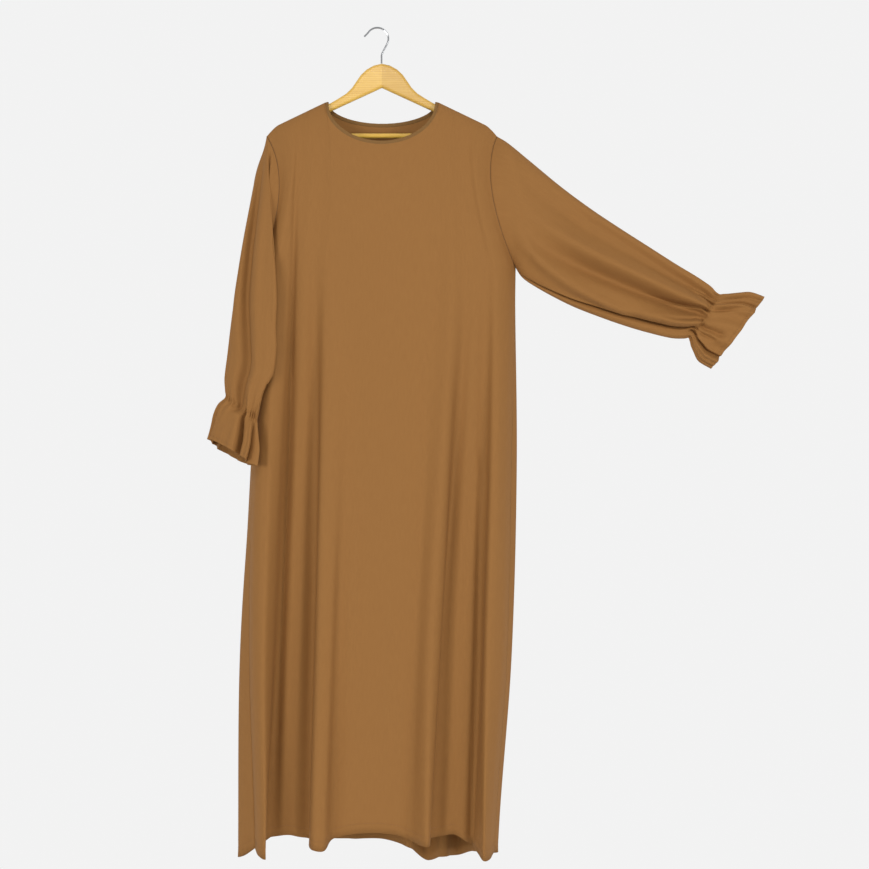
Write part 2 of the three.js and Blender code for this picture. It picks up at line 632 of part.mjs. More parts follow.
// Keeps only positions, so that shared corners join into one body.
function tidy(geometry) {
  geometry.deleteAttribute("normal");
  geometry.deleteAttribute("uv");
  return mergeVertices(geometry, 1e-3);
}

const cloth = { color: 0x9a6c3c, roughness: 0.85, metalness: 0 };
const binding = { color: 0x86602f, roughness: 0.85, metalness: 0 };
const wood = { color: 0xd39a3a, roughness: 0.35, metalness: 0 };
const chrome = { color: 0xc9ccd0, roughness: 0.15, metalness: 1 };

const group = new THREE.Group();
function addPiece(name, geometry, finish) {
  const mesh = new THREE.Mesh(geometry, new THREE.MeshStandardMaterial(finish));
  mesh.name = name;
  group.add(mesh);
}

const cut = sewnShapes();
addPiece("front", wall(cut.front.outer, cut.front.inner, false), cloth);
addPiece("back", wall(cut.back.outer, cut.back.inner, false), cloth);
addPiece("right_sleeve", wall(cut.left.outer, cut.left.inner, true), cloth);
addPiece("left_sleeve", wall(cut.right.outer, cut.right.inner, true), cloth);
addPiece("neck_binding", neckBinding(cut), binding);
addPiece("hanger_wood", hangerWood(), wood);
addPiece("hanger_bar", hangerBar(), wood);
addPiece("hanger_hook", hangerHook(), chrome);

export default group;
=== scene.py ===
# A long abaya on a wooden hanger, dressed over the solid model: thin cloth with its folds,
# creases, shirring, bound neck and sewing, and the hanger's wood and wire.
import math
import bpy
import numpy as np
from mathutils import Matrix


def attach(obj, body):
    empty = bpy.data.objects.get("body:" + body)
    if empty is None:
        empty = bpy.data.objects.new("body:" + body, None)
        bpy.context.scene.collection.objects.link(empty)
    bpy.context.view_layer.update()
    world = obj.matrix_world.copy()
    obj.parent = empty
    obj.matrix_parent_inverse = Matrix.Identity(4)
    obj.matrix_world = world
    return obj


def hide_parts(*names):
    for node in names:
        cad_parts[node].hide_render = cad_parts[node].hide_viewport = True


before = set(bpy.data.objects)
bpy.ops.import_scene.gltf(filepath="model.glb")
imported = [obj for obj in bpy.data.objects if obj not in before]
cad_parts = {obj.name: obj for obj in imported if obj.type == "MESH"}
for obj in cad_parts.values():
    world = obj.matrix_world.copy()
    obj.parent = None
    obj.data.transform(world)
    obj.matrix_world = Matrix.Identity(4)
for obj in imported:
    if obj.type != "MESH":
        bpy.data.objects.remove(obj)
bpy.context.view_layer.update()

# Driving sizes in millimetres, the same as the solid model's. Left and right in this file are
# the viewer's, and the pieces are named for the wearer's sides.
MM = 0.001
SEAM_GAP = 0.4
CENTRE_X = 8.6
CHEST_Z = -450
NECK_HALF_WIDTH = 106.7
NECK_Z = -139
FRONT_NECK_DROP = 82
BACK_NECK_DROP = 43
NECK_CROWDING = 0.4
YOKE_POWER = 0.42
YOKE_DEPTH = 40
NECK_BLEND = 8
NECK_SPREAD = 25
NECK_SPREAD_WIDTH = 0.08
SHOULDER_RUN = 110
SHOULDER_SLOPE = 0.48
SHOULDER_ROUND_START = 88
SHOULDER_ROUND_DROP = 11
ARMHOLE_DEPTH_FRONT = 26
ARMHOLE_DEPTH_BACK = 22
ARMHOLE_ROUNDNESS = 0.7
ARMHOLE_WIDE = 3
ARMHOLE_NARROW = 12
SLEEVE_ROUNDNESS = 0.85
BINDING_WIDTH = 7
RATE_DROP = 1 / 8
RUFFLE_WAVES = 4

# How finely the cloth is divided, and how thin it is
SAMPLES_PER_FOLD = 10
BODY_ROWS = 64
YOKE_ROWS = 34
RING_HALF = 144
ROWS_PER_SECTION = 9
CLOTH_WALL = 0.9

# Folds round each panel from seam to seam: across at four heights, to the front or back at the
# chest and hem, and the height of the hem there. Front is negative.
FOLD_COLUMNS = ["name", "chestX", "hipX", "kneeX", "hemX", "chestY", "hemY", "hemZ"]
FRONT_FOLDS = [
    ("left_seam", -217, -234, -239, -227, -2, -34, -1534),
    ("left_roll", -208, -223, -228, -218, -22, -66, -1542),
    ("left_crown", -190, -202, -210, -203, -34, -82, -1546),
    ("valley_1", -160, -173, -184, -187, -33, -40, -1514),
    ("recess_1", -137, -148, -156, -161, -37, -42, -1510),
    ("valley_2", -113, -120, -126, -137, -37, -50, -1518),
    ("fold_2", -94, -101, -108, -116, -40, -88, -1528),
    ("fold_2_right", -74, -77, -85, -97, -41, -86, -1530),
    ("valley_3", -50, -53, -62, -79, -42, -64, -1512),
    ("centre_left", -24, -25, -34, -49, -43, -61, -1504),
    ("centre", 15, 14, 8, 1, -44, -61, -1501),
    ("centre_right", 66, 53, 45, 42, -43, -62, -1506),
    ("valley_4", 118, 94, 72, 67, -41, -68, -1516),
    ("fold_4", 142, 123, 101, 94, -42, -92, -1521),
    ("valley_5", 162, 149, 134, 115, -38, -56, -1513),
    ("recess_2", 183, 172, 157, 144, -37, -48, -1507),
    ("valley_6", 205, 198, 186, 185, -35, -54, -1537),
    ("right_crown", 222, 218, 205, 198, -36, -86, -1548),
    ("right_roll", 245, 239, 229, 210, -22, -66, -1549),
    ("right_seam", 260, 252, 243, 219, -2, -38, -1539),
]
FRONT_NECK_FOLDS = ("valley_2", "valley_4")
BACK_FOLDS = [
    ("right_seam", 260, 252, 243, 219, -2, -38, -1539),
    ("right_bulge", 258, 262, 253, 226, 8, -12, -1546),
    ("right_back", 248, 246, 239, 214, 22, 22, -1554),
    ("hollow_1", 209, 209, 205, 182, 33, 36, -1553),
    ("ridge_1", 171, 171, 168, 153, 37, 74, -1568),
    ("hollow_2", 137, 135, 131, 124, 37, 48, -1565),
    ("ridge_2", 99, 99, 99, 93, 39, 80, -1579),
    ("hollow_3", 57, 57, 59, 57, 38, 50, -1548),
    ("ridge_3", 12, 11, 11, 11, 39, 66, -1536),
    ("hollow_4", -41, -43, -44, -42, 38, 50, -1532),
    ("ridge_4", -91, -95, -100, -100, 38, 78, -1536),
    ("hollow_5", -132, -140, -144, -144, 36, 46, -1519),
    ("ridge_5", -167, -183, -187, -188, 35, 72, -1524),
    ("hollow_6", -193, -216, -220, -223, 29, 54, -1543),
    ("left_back", -212, -239, -249, -252, 17, 32, -1560),
    ("left_bulge", -216, -236, -259, -263, 7, 4, -1558),
    ("left_seam", -217, -234, -239, -227, -2, -34, -1534),
]
BACK_NECK_FOLDS = ("ridge_2", "ridge_4")

# Armhole guides: low and high, across and height
ARMHOLES = {"left": (-197, -399, -156, -283), "right": (236, -399, 189, -283)}

# Sleeve sections: outer point, inner point, reach to the front and back, turn, sink, ruffle
HELD_SECTIONS = [
    (245, 0, -215, 276, 0, -471, 34, 30, 0, 0, 0),
    (286, 0, -249, 315, 0, -496, 34, 30, 0, 0, 0),
    (343, 0, -296, 366, 0, -522, 32, 28, 0, 0, 0),
    (399, 0, -337, 418, 0, -542, 30, 27, 0, 0, 0),
    (455, 0, -374, 471, 0, -560, 28, 25, 0, 0, 0),
    (511, 0, -410, 516, 0, -573, 26, 23, 0, 0, 0),
    (560, 0, -442, 553, 0, -582, 24, 21, 0, 0, 0),
    (599, 0, -466, 576, 0, -583, 22, 19, 0, 0, 0),
    (625, 0, -484, 585, 0, -581, 19, 17, 0, 0, 0),
    (641, 0, -498, 589, 0, -586, 17, 15, 0, 0, 0.5),
    (655, 0, -499, 591, 0, -597, 20, 18, 0, 0, 3),
    (680, 0, -497, 597, 0, -610, 22, 20, 0, 0, 6),
    (702, 0, -497, 606, 0, -625, 22, 20, 0, 0, 9),
    (727, 0, -506, 629, 0, -638, 20, 18, 0, 0, 11),
]
HANGING_SECTIONS = [
    (-214, -4, -236, -221, -4, -458, 34, 26, 35, 0, 0),
    (-222, -8, -270, -224, -8, -472, 42, 24, 42, 0, 0),
    (-231, -13, -322, -226, -14, -492, 50, 22, 48, 4, 0),
    (-241, -19, -385, -229, -18, -518, 56, 22, 52, 8, 0),
    (-248, -27, -445, -231, -20, -545, 59, 24, 55, 12, 0),
    (-252, -34, -505, -231, -21, -575, 58, 30, 57, 16, 0),
    (-250, -41, -565, -230, -22, -605, 58, 40, 57, 18, 0),
    (-246, -46, -628, -232, -24, -640, 49, 49, 57, 20, 0),
    (-254, -46, -668, -242, -28, -674, 44, 44, 58, 15, 0),
    (-256, -48, -696, -246, -31, -698, 38, 38, 59, 17, 0),
    (-257, -50, -713, -248, -33, -714, 34, 34, 61, 20, 0.5),
    (-266, -52, -725, -253, -30, -726, 41, 41, 60, 19, 3),
    (-272, -55, -745, -257, -29, -746, 46, 46, 59, 18, 6),
    (-277, -57, -768, -259, -27, -769, 49, 49, 58, 17, 9),
    (-284, -60, -795, -265, -26, -796, 51, 51, 56, 16, 11),
]

# Sleeve creases: angle at the start and end, section at the start and end, depth, width.
# A negative depth is a ridge.
HELD_CREASES = [
    (0.64, 0.7, 1, 9, 6, 0.15),
    (1.8, 1.57, 1, 9, 10, 0.25),
    (2.6, 2.37, 1, 9, 5, 0.15),
    (1.2, 1.1, 3, 8.6, -2.5, 0.16),
    (2.15, 2.0, 4, 8.8, -2.0, 0.12),
    (0.95, 1.45, 6.2, 9, 2.2, 0.09),
    (2.9, 2.2, 6.8, 9, 1.8, 0.08),
    (0.3, 0.5, 5.0, 8.9, 1.8, 0.1),
    (-0.9, -0.7, 1, 8, 4, 0.16),
    (-1.7, -1.5, 2, 9, 6, 0.22),
    (-2.5, -2.2, 1.5, 9, 4, 0.15),
    (3.0, 2.14, -0.8, 9, 17, 0.045),
    (1.0, 0.84, 0.2, 9.2, 13, 0.26),
    (1.9, 1.6, 0.4, 9.2, 12, 0.15),
    (1.54, 1.32, 0.1, 9.2, -12, 0.16),
    (2.05, 2.45, -0.4, 4.2, -10, 0.18),
    (2.42, 1.86, 2.6, 9.2, -12, 0.16),
    (1.78, 1.3, 4.4, 9.3, 12, 0.042),
    (2.16, 1.74, 4.9, 9.1, 8, 0.05),
    (1.0, 0.98, 6.6, 9.3, 6, 0.05),
    (0.62, 0.68, 7.0, 9.3, 4, 0.05),
    (2.5, 2.4, 7.2, 9.3, 5, 0.05),
    (0.66, 0.2, 8, 15, 8, 0.08),
    (0.98, 0.66, 8, 15, 10, 0.08),
    (1.38, 0.72, 8, 15, 8, 0.08),
    (1.72, 1.35, 9, 15, -6, 0.16),
    (1.95, 1.8, 8, 12.4, 9, 0.08),
    (2.46, 2.36, 8, 15, 18, 0.06),
    (2.2, 2.0, 8.6, 12, 5, 0.05),
    (-1.2, -1.3, 5.5, 9, 3.2, 0.08),
]
HANGING_CREASES = [
    (0.08, -0.04, 0.2, 10.8, 13, 0.15),
    (0.2, 0.05, 2, 10.6, 5, 0.4),
    (0.5, 0.42, 0.6, 10.8, -4, 0.2),
    (0.3, 0.56, 8.4, 15, 20, 0.1),
    (0.4, 1.5, -0.9, 2.6, 8, 0.11),
    (1.6, 1.85, 1.2, 7.4, -6, 0.3),
    (-1.3, -1.3, 10.5, 17, 9, 0.45),
    (-0.75, -0.7, 7.6, 10.2, 3, 0.09),
    (-0.35, -0.3, 7.9, 10.4, 3, 0.08),
    (0.95, 1.0, 8.6, 10.8, 3, 0.08),
    (1.35, 1.1, 10.4, 18, 7, 0.12),
    (2.3, 2.2, 2, 9.5, 2.2, 0.14),
    (-0.9, -1.2, 3, 10, 2.4, 0.16),
    (2.5, 2.5, 1, 9.5, 4, 0.1),
]

# Creases of the panels: from and to (across, height), depth, width. A negative depth is a ridge.
FRONT_CREASES = [
    ((-154, -430), (-207, -2000), 11, 9),
    ((-110, -440), (-154, -2000), 14, 10),
    ((-134, -540), (-180, -2000), 8, 22),
    ((168, -480), (92, -2000), 14, 10),
    ((209, -480), (157, -2000), 10, 9),
    ((188, -560), (124, -2000), 7, 20),
    ((-147, -180), (-208, -2000), 10, 4.5),
    ((-118, -800), (-154, -2000), 9, 4.5),
    ((150, -800), (82, -2000), 9, 4.5),
    ((192, -800), (162, -2000), 8, 4.5),
    ((98, -520), (38, -2000), 3.5, 11),
    ((-60, -760), (-90, -2000), 4, 11),
    ((186, -773), (204, -886), 2.2, 5),
    ((118, -400), (106, -590), 1.6, 11),
    ((-209, -215), (-196, -382), 1.6, 5),
    ((-198, -222), (-188, -300), 1.2, 5),
    ((-150, -560), (-176, -980), 1.4, 7),
    ((-118, -380), (-125, -700), 1.6, 8),
    ((150, -620), (140, -1020), 1.5, 8),
    ((198, -480), (190, -820), 1.6, 7),
    ((-62, -900), (-80, -1480), 1.8, 9),
    ((30, -1000), (22, -1490), -1.4, 14),
    ((-30, -820), (-44, -1300), 1.0, 10),
    ((88, -700), (62, -1300), -1.5, 10),
    ((-205, -640), (-214, -1200), 1.2, 6),
    ((222, -560), (214, -1100), 1.2, 6),
]
BACK_CREASES = [
    ((-134, -520), (-152, -2000), 7, 8),
    ((-38, -560), (-46, -2000), 4, 9),
    ((57, -640), (60, -2000), 6, 7),
    ((141, -500), (118, -2000), 8, 8),
    ((206, -600), (180, -2000), 5, 7),
    ((-170, -330), (-188, -760), 1.8, 8),
    ((-60, -280), (-72, -900), 1.4, 12),
    ((70, -300), (84, -1000), 1.6, 11),
    ((190, -420), (204, -800), 1.8, 7),
    ((-120, -820), (-126, -1460), -1.6, 9),
    ((30, -760), (34, -1480), 1.5, 10),
    ((150, -880), (142, -1500), -1.5, 9),
]


def column(rows, name):
    index = FOLD_COLUMNS.index(name)
    return np.array([row[index] for row in rows], float)


def smoothstep(value, low, high):
    share = np.clip((value - low) / (high - low), 0, 1)
    return share * share * (3 - 2 * share)


def hermite(a, rate_a, b, rate_b, t):
    """A curve from a to b, t running from 0 to 1, with its rate given at both ends."""
    return ((2 * t ** 3 - 3 * t ** 2 + 1) * a + (t ** 3 - 2 * t ** 2 + t) * rate_a
            + (3 * t ** 2 - 2 * t ** 3) * b + (t ** 3 - t ** 2) * rate_b)


def bezier(a, b, c, d, t):
    return a * (1 - t) ** 3 + 3 * b * t * (1 - t) ** 2 + 3 * c * t * t * (1 - t) + d * t ** 3


# Just short of the last station, so that one always follows
LAST_SHARE = 0.99999


def through(values, share):
    """A value, or an array of them, that passes through equally spaced stations."""
    def station(offset):
        return values[min(max(index + offset, 0), len(values) - 1)]

    spot = min(share, LAST_SHARE) * (len(values) - 1)
    index = int(spot)
    start_rate = (station(1) - station(-1)) / 2
    end_rate = (station(2) - station(0)) / 2
    return hermite(station(0), start_rate, station(1), end_rate, spot - index)


def smooth_curve(stations, samples):
    """A centripetal curve through the stations, samples points on each span."""
    ends = [2 * stations[0] - stations[1], *stations, 2 * stations[-1] - stations[-2]]
    made = []
    for i in range(len(stations) - 1):
        p0, p1, p2, p3 = ends[i:i + 4]
        d0, d1, d2 = (np.linalg.norm(b - a) ** 0.5 for a, b in ((p0, p1), (p1, p2), (p2, p3)))
        t1 = ((p1 - p0) / d0 - (p2 - p0) / (d0 + d1) + (p2 - p1) / d1) * d1
        t2 = ((p2 - p1) / d1 - (p3 - p1) / (d1 + d2) + (p3 - p2) / d2) * d1
        made += [hermite(p1, t1, p2, t2, step / samples) for step in range(samples)]
    return np.array(made + [stations[-1]])


def level_line(folds, drop):
    """A panel's level line, drop running from 0 at the chest to 1 at the hem."""
    x = through([column(folds, name) for name in ("chestX", "hipX", "kneeX", "hemX")], drop)
    y = column(folds, "chestY") * (1 - drop) + column(folds, "hemY") * drop
    z = CHEST_Z * (1 - drop) + column(folds, "hemZ") * drop
    return smooth_curve(list(np.stack([x, y, z], axis=1)), SAMPLES_PER_FOLD)


def shoulder_z(out):
    rounding = np.maximum(0, (out - SHOULDER_ROUND_START) / (SHOULDER_RUN - SHOULDER_ROUND_START))
    return NECK_Z - SHOULDER_SLOPE * out - SHOULDER_ROUND_DROP * rounding ** 1.5


def top_edge(way, share, neck_shares):
    """The upper edge above a share of the chest line: shoulder, neck, shoulder."""
    if share < neck_shares[0]:
        out = SHOULDER_RUN * (1 - share / neck_shares[0])
        return CENTRE_X - way * (NECK_HALF_WIDTH + out), float(shoulder_z(out))
    if share > neck_shares[1]:
        out = SHOULDER_RUN * (share - neck_shares[1]) / (1 - neck_shares[1])
        return CENTRE_X + way * (NECK_HALF_WIDTH + out), float(shoulder_z(out))
    part = (share - neck_shares[0]) / (neck_shares[1] - neck_shares[0])
    angle = math.pi * part - NECK_CROWDING * math.sin(2 * math.pi * part)
    drop = FRONT_NECK_DROP if way > 0 else BACK_NECK_DROP
    return CENTRE_X - way * NECK_HALF_WIDTH * math.cos(angle), NECK_Z - drop * math.sin(angle)


def rise_of(x, z):
    """How far a place lies from the chest line, 0, to the ridge above it, 1, and the ridge."""
    ridge = shoulder_z(np.maximum(0, np.abs(x - CENTRE_X) - NECK_HALF_WIDTH))
    return np.minimum(1, (z - CHEST_Z) / (ridge - CHEST_Z)), ridge


def edge_normal(way, x, z):
    """The outward direction on a panel's upper edge."""
    out = abs(x - CENTRE_X) - NECK_HALF_WIDTH
    rise, ridge = rise_of(x, z)
    outside = smoothstep(out, -NECK_BLEND, NECK_BLEND)
    fall = np.sign(x - CENTRE_X) * outside * (shoulder_z(out) - shoulder_z(out + 1))
    upward = 2 * YOKE_POWER * YOKE_DEPTH * rise / (ridge - CHEST_Z)
    forward = max(0.0, 1 - rise * rise) ** (1 - YOKE_POWER)
    normal = np.array([fall * upward, -way * forward, upward])
    return normal / np.linalg.norm(normal)


def armhole_point(side, way, t):
    """A place on an armhole edge, t running from 0 at the underarm to 1 at the shoulder tip."""
    low_x, low_z, high_x, high_z = ARMHOLES[side]
    seam = [fold for fold in FRONT_FOLDS if fold[0] == side + "_seam"]
    seam_x, seam_y = column(seam, "chestX")[0], column(seam, "chestY")[0]
    outward = -1 if side == "left" else 1
    tip_x = CENTRE_X + outward * (NECK_HALF_WIDTH + SHOULDER_RUN)
    depth = ARMHOLE_DEPTH_FRONT if way > 0 else ARMHOLE_DEPTH_BACK
    bow = depth * max(0.0, math.sin(math.pi * t)) ** ARMHOLE_ROUNDNESS
    return np.array([
        bezier(seam_x, low_x, high_x, tip_x, t),
        seam_y * (1 - t) - way * bow,
        bezier(CHEST_Z, low_z, high_z, float(shoulder_z(SHOULDER_RUN)), t),
    ])


def panel_rows(folds, way, neck_names):
    """A body panel as rows of points from its upper edge down to the hem."""
    chest = level_line(folds, 0)
    below = level_line(folds, RATE_DROP)
    sums = np.concatenate([[0], np.cumsum(np.linalg.norm(np.diff(chest, axis=0), axis=1))])
    shares = sums / sums[-1]
    names = [fold[0] for fold in folds]
    neck_shares = [shares[SAMPLES_PER_FOLD * names.index(name)] for name in neck_names]
    tops = np.array([top_edge(way, share, neck_shares) for share in shares])
    miss = np.min([np.abs(shares - share) for share in neck_shares], axis=0) / NECK_SPREAD_WIDTH
    outward = (tops[:, 0] - chest[:, 0]) * (chest[:, 0] - CENTRE_X) < 0
    spread = np.where(outward, 1 + (NECK_SPREAD - 1) * np.exp(-miss * miss), 1)
    rate = ((tops[:, 1] - chest[:, 2]) * (chest[:, 0] - below[:, 0])
            / (chest[:, 2] - below[:, 2]))
    first_side, last_side = ("left", "right") if way > 0 else ("right", "left")
    rows = []
    for row in range(YOKE_ROWS + 1):
        t = 1 - (row / YOKE_ROWS) ** 2
        x = hermite(chest[:, 0], rate, chest[:, 0], 0, t) + (tops[:, 0] - chest[:, 0]) * t ** spread
        z = chest[:, 2] * (1 - t) + tops[:, 1] * t
        rise, _ = rise_of(x, z)
        line = np.stack([x, chest[:, 1] * (1 - rise * rise) ** YOKE_POWER, z], axis=1)
        first = armhole_point(first_side, way, t) - line[0]
        last = armhole_point(last_side, way, t) - line[-1]
        for gap, near in ((first, 1 - shares), (last, shares)):
            wide, narrow = near ** ARMHOLE_WIDE, near ** ARMHOLE_NARROW
            line += np.stack([gap[0] * wide, gap[1] * narrow, gap[2] * wide], axis=1)
        rows.append(line)
    rows += [level_line(folds, row / BODY_ROWS) for row in range(1, BODY_ROWS + 1)]
    grid = np.array(rows)
    grid[:, :, 1] -= way * SEAM_GAP / 2
    return grid


def grid_normals(grid, side, closed):
    """The outward direction at each point of a grid. A side of -1 turns it round."""
    if closed:
        across = np.roll(grid, -1, axis=1) - np.roll(grid, 1, axis=1)
    else:
        across = np.gradient(grid, axis=1)
    along = np.gradient(grid, axis=0)
    normal = np.cross(along, across) * side
    return normal / np.maximum(np.linalg.norm(normal, axis=2, keepdims=True), 1e-9)


# Where along a panel crease it fades in and out, and the low waves of the cloth
CREASE_START = (-0.05, 0.3)
CREASE_END = (0.7, 1.05)
UNEVEN_WAVES = 7
WAVES_ACROSS = (0.02, 0.07)
WAVES_DOWN = (0.002, 0.008)
WAVE_HEIGHTS = (0.4, 1)


def panel_creases(grid, creases):
    """How far in the creases pull each point, tapering to nothing at both ends."""
    depth = np.zeros(grid.shape[:2])
    x, z = grid[:, :, 0], grid[:, :, 2]
    for (x0, z0), (x1, z1), deep, wide in creases:
        length = math.hypot(x1 - x0, z1 - z0)
        ux, uz = (x1 - x0) / length, (z1 - z0) / length
        along = ((x - x0) * ux + (z - z0) * uz) / length
        aside = (x - x0) * uz - (z - z0) * ux
        taper = smoothstep(along, *CREASE_START) * (1 - smoothstep(along, *CREASE_END))
        depth += deep * taper * np.exp(-(aside / wide) ** 2)
    return depth


def soft_unevenness(grid, seed, size):
    """Low waves, long down the cloth and short across it, so no fold is quite regular."""
    rng = np.random.default_rng(seed)
    total = np.zeros(grid.shape[:2])
    for _ in range(UNEVEN_WAVES):
        across = rng.uniform(*WAVES_ACROSS)
        down = rng.uniform(*WAVES_DOWN)
        turn = rng.uniform(0, 2 * math.pi)
        height = rng.uniform(*WAVE_HEIGHTS)
        total += height * np.sin(across * grid[:, :, 0] + down * grid[:, :, 2] + turn)
    return size * total


def lengths(grid):
    """Mean distances across and down the cloth, in metres, for the weave."""
    heights = np.linalg.norm(np.diff(grid, axis=0), axis=2).mean(axis=1)
    widths = np.linalg.norm(np.diff(grid, axis=1), axis=2).mean(axis=0)
    across = np.concatenate([[0], np.cumsum(widths)])
    down = np.concatenate([[0], np.cumsum(heights)])
    return across * MM, -down * MM


def mesh_object(name, points, faces):
    """A smooth object from points in millimetres and the faces between them."""
    mesh = bpy.data.meshes.new(name)
    mesh.from_pydata((np.array(points) * MM).tolist(), [], faces)
    mesh.polygons.foreach_set("use_smooth", [True] * len(faces))
    made = bpy.data.objects.new(name, mesh)
    bpy.context.scene.collection.objects.link(made)
    return made


def lay_weave(piece, coords):
    """Gives the cloth the map that its weave follows, one place for each corner of each face."""
    layer = piece.data.uv_layers.new(name="Weave")
    layer.data.foreach_set("uv", np.array(coords, np.float32).ravel())


def sheet_object(name, grid, closed, outward):
    """A cloth sheet from its outer points, with a thin wall behind it and a weave that follows it."""
    rows, width = grid.shape[:2]
    across, down = lengths(grid)
    spans = width if closed else width - 1
    faces, coords = [], []
    ring_step = across[-1] / (width - 1)
    for row in range(rows - 1):
        for span in range(spans):
            nxt = (span + 1) % width
            face = [row * width + span, (row + 1) * width + span, (row + 1) * width + nxt,
                    row * width + nxt]
            end = across[span] + ring_step if nxt == 0 else across[nxt]
            uv = [(across[span], down[row]), (across[span], down[row + 1]), (end, down[row + 1]),
                  (end, down[row])]
            faces.append(face if outward else face[::-1])
            coords += uv if outward else uv[::-1]
    piece = mesh_object(name, grid.reshape(-1, 3), faces)
    lay_weave(piece, coords)
    wall = piece.modifiers.new("Wall", "SOLIDIFY")
    wall.thickness = CLOTH_WALL * MM
    wall.offset = -1
    return piece


# The body panels, with a slightly raised hem turning and the hollow of its stitching. Their
# creases and waves calm down towards the side seams and the upper edge.
HEM_TURN = 18
HEM_RAISE = 0.5
TURNING_EDGE = (HEM_TURN - 3, HEM_TURN + 2)
STITCH_HOLLOW = 0.5
STITCH_HOLLOW_WIDTH = 3.5
PANEL_UNEVENNESS = 0.28
CALM_SIDE = 0.03
CALM_ROWS = (3, 16)


def dressed_panel(folds, way, neck_names, creases, seed):
    """A panel's points with all its creases, and the outward directions. Way is 1 in front."""
    grid = panel_rows(folds, way, neck_names)
    normals = grid_normals(grid, 1, False)
    rows, width = grid.shape[:2]
    pull = panel_creases(grid, creases) + soft_unevenness(grid, seed, PANEL_UNEVENNESS)
    share = np.linspace(0, 1, width)
    edges = smoothstep(share, 0, CALM_SIDE) * (1 - smoothstep(share, 1 - CALM_SIDE, 1))
    top = smoothstep(np.linspace(0, rows, rows), *CALM_ROWS)
    pull = pull * edges[None, :] * top[:, None]
    to_hem = grid[:, :, 2] - grid[-1, :, 2][None, :]
    stitch = np.exp(-((to_hem - HEM_TURN) / STITCH_HOLLOW_WIDTH) ** 2)
    turned = 1 - smoothstep(to_hem, *TURNING_EDGE)
    move = HEM_RAISE * turned - STITCH_HOLLOW * stitch - pull
    return grid + normals * move[:, :, None], normals


front_grid, front_normals = dressed_panel(
    FRONT_FOLDS, 1, FRONT_NECK_FOLDS, FRONT_CREASES, seed=11)
back_grid, back_normals = dressed_panel(
    BACK_FOLDS, -1, BACK_NECK_FOLDS, BACK_CREASES, seed=23)


# Sleeves: coarse rings round the sections, smoothed along the sleeve, then creased and shirred
def armhole_ring(side):
    """The closed line round an armhole, down its front and up its rear."""
    ring = []
    for step in range(2 * RING_HALF):
        t = (1 + math.cos(math.pi * step / RING_HALF)) / 2
        fore, aft = armhole_point(side, 1, t), armhole_point(side, -1, t)
        fore[1] -= SEAM_GAP / 2
        aft[1] += SEAM_GAP / 2
        point = fore if step <= RING_HALF else aft
        if step in (0, RING_HALF):
            point = (fore + aft) / 2
        ring.append(point)
    return np.array(ring)


def ring_angles():
    """The angle of each ring point: 0 at the outer point, pi at the inner one, negative behind."""
    steps = np.arange(2 * RING_HALF)
    return math.pi * np.where(steps > RING_HALF, steps - 2 * RING_HALF, steps) / RING_HALF


def section_ring(section):
    """The plain closed section, its angle running from the outer point over the front."""
    outer, inner = np.array(section[0:3], float), np.array(section[3:6], float)
    reach_front, reach_back, turn, sink = section[6:10]
    turn = math.radians(turn)
    forward = np.array([math.sin(turn), -math.cos(turn), -sink / reach_front])
    half = (outer - inner) / 2
    angle = ring_angles()[:, None]
    reach = np.where(angle > 0, reach_front, reach_back)
    swell = np.sign(angle) * np.abs(np.sin(angle)) ** SLEEVE_ROUNDNESS
    return outer + half * (np.cos(angle) - 1) + forward * reach * swell


# How a sleeve crease fades along its run: one that starts at the armhole starts quickly
QUICK_START = 4
QUICK_END = 2
QUICK_LAST = 0.5
SLOW_START = 0.5
LAST_STRETCH = 0.9
LAST_DROP = 0.75


def crease_fade(along, from_armhole):
    """The share of its depth that a sleeve crease has at each place along it."""
    inside = (along >= 0) & (along <= 1)
    if from_armhole:
        fade = np.minimum(1, np.minimum(QUICK_START * along, QUICK_LAST + QUICK_END * (1 - along)))
    else:
        fade = smoothstep(along, 0, SLOW_START)
    return np.where(inside, fade, 0) * (1 - LAST_DROP * smoothstep(along, LAST_STRETCH, 1))


def sleeve_creases(spot, angle, creases):
    """How far in the creases pull each point of a sleeve."""
    depth = np.zeros((len(spot), angle.shape[1]))
    for start, end, first, last, deep, wide in creases:
        along = (spot - first) / (last - first)
        centre = start + (end - start) * along
        gap = (angle - centre[:, None] + math.pi) % (2 * math.pi) - math.pi
        depth += deep * crease_fade(along, first <= 1)[:, None] * np.exp(-(gap / wide) ** 2)
    return depth


# Smaller waves of the flounce, beside its RUFFLE_WAVES, and how much its plain part loses
MIDDLE_WAVES = 13
MIDDLE_SHARE = 0.36
FINE_WAVES = 21
FINE_SHARE = 0.1
PLAIN_LOSS = 0.8


def flounce_waves(angle, turns, plain):
    """The flounce's waves round the sleeve, lower in its plain part."""
    swell = np.abs(np.sin(angle)) ** SLEEVE_ROUNDNESS
    waves = (np.sin(2 * RUFFLE_WAVES * angle) * swell
             + MIDDLE_SHARE * np.sin(MIDDLE_WAVES * angle + turns[0]) * swell
             + FINE_SHARE * np.sin(FINE_WAVES * angle + turns[1]))
    centre, wide = plain
    return waves * (1 - PLAIN_LOSS * np.exp(-((angle - centre) / wide) ** 2))


# The shirring on the wrist elastic and the gathers that fan out from it, reaches in sections.
# Both wander, a set amount and number of times round, so that no two are alike.
SHIRRING_WAVES = 31
SHIRRING_HEIGHT = 1.5
SHIRRING_SINK = 0.8
SHIRRING_REACH = 0.42
SHIRRING_WANDER = 0.6
SHIRRING_WANDERS = 3
GATHER_WAVES = 15
GATHER_HEIGHT = 1.6
GATHER_REACH = 1.5
GATHER_WANDER = 0.9
GATHER_WANDERS = 2


